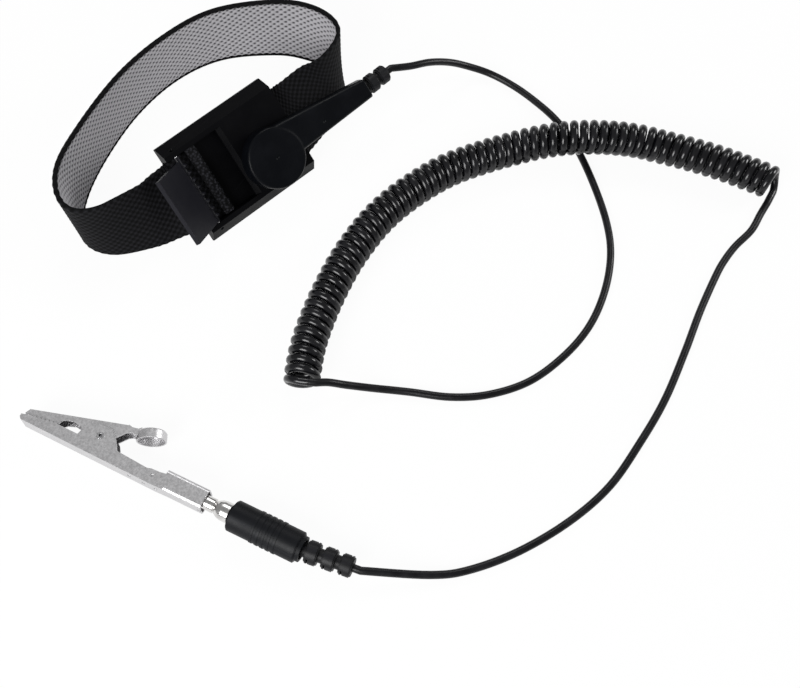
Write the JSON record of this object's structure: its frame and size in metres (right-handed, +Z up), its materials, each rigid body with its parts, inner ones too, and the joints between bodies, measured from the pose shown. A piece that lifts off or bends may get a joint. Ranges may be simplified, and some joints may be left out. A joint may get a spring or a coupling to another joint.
{
  "type": "esd wrist strap",
  "caption": "Elastic wristband with a conductive lining, clamp buckle and snap stud, and a curly grounding cord that ends in a banana plug with a jaw clip.",
  "frame": {"origin": "on the bench, under the middle of the wristband with its buckle and open flap", "axes": "+Z up from the bench, +X along the buckle towards the end where the cord leaves, +Y from the buckle to the far side of the band"},
  "size_m": [0.1949, 0.169, 0.0248],
  "materials": {
    "elastic_knit": "ribbed elastic knit",
    "conductive_knit": "light knit with conductive yarn",
    "folded_knit": "folded elastic knit",
    "buckle_plastic": "fine spark-eroded",
    "plate_steel": "brushed",
    "pin_steel": "drawn",
    "snap_nickel": "nickel plated",
    "eyelet_nickel": "nickel plated",
    "flap_plastic": "satin",
    "spring_steel": "drawn wire",
    "socket_nickel": "nickel plated",
    "moulded_cap": "soft moulded",
    "resistor_lacquer": "lacquered",
    "crimp_brass": "crimped",
    "cord_core": "smooth jacket",
    "relief_rubber": "soft moulded",
    "cord_jacket": "smooth jacket",
    "coil_jacket": "smooth jacket",
    "lead_jacket": "smooth jacket",
    "plug_relief_rubber": "soft moulded",
    "grip_rubber": "satin",
    "ferrule_nickel": "nickel plated",
    "pin_nickel": "nickel plated",
    "sleeve_nickel": "nickel plated",
    "clip_steel": "plated sheet",
    "rivet_steel": "rolled",
    "jaw_spring_steel": "drawn wire",
    "jaw_steel": "plated sheet"
  },
  "bodies": {
    "wristband": {"band_outer": "elastic_knit", "band_lining": "conductive_knit", "band_hem": "folded_knit", "buckle_frame": "buckle_plastic", "back_plate": "plate_steel", "clamp_pin": "pin_steel", "snap_stud": "snap_nickel", "stud_eyelet": "eyelet_nickel", "cord_snap_lead": "cord_jacket", "cord_coil": "coil_jacket", "cord_plug_lead": "lead_jacket", "plug_strain_relief": "plug_relief_rubber", "plug_grip": "grip_rubber", "plug_ferrule": "ferrule_nickel", "banana_pin": "pin_nickel"},
    "clamp": {"clamp_flap": "flap_plastic"},
    "snap_ring": {"socket_spring": "spring_steel"},
    "snap_cap": {"snap_socket": "socket_nickel", "snap_cap": "moulded_cap", "safety_resistor": "resistor_lacquer", "crimp_sleeve": "crimp_brass", "cord_tail": "cord_core", "snap_strain_relief": "relief_rubber"},
    "pin_sleeve": {"banana_spring": "sleeve_nickel"},
    "clip": {"lower_jaw": "clip_steel", "jaw_rivet": "rivet_steel", "jaw_spring": "jaw_spring_steel"},
    "upper_jaw": {"upper_jaw": "jaw_steel"}
  },
  "joints": [
    {"name": "clamp_hinge", "type": "hinge", "parent": "wristband", "child": "clamp", "pos_m": [-0.0144, -0.01397, 0.01237], "axis": [0, 0.7547, 0.6561], "range_deg": [0, 138]},
    {"name": "snap_pull", "type": "slide", "parent": "wristband", "child": "snap_ring", "axis": [0, -0.6561, 0.7547], "range_m": [0, 0.008], "deforming": ["socket_spring"]},
    {"name": "snap_swivel", "type": "hinge", "parent": "snap_ring", "child": "snap_cap", "pos_m": [0.0069, -0.01755, 0.01031], "axis": [0, -0.6561, 0.7547], "range_deg": [-12, 90]},
    {"name": "sleeve_spin", "type": "hinge", "parent": "wristband", "child": "pin_sleeve", "pos_m": [-0.06474, -0.07787, 0.0041], "axis": [-0.3843, 0.9232, 0], "continuous": true},
    {"name": "clip_pull", "type": "slide", "parent": "wristband", "child": "clip", "axis": [-0.3843, 0.9232, 0], "range_m": [0, 0.022]},
    {"name": "jaw_open", "type": "hinge", "parent": "clip", "child": "upper_jaw", "pos_m": [-0.07309, -0.0508, 0.0041], "axis": [0, 0, -1], "range_deg": [0, 22], "stiffness_Nm_per_rad": 0.05, "springref_deg": -17.19, "deforming": ["jaw_spring"]}
  ]
}
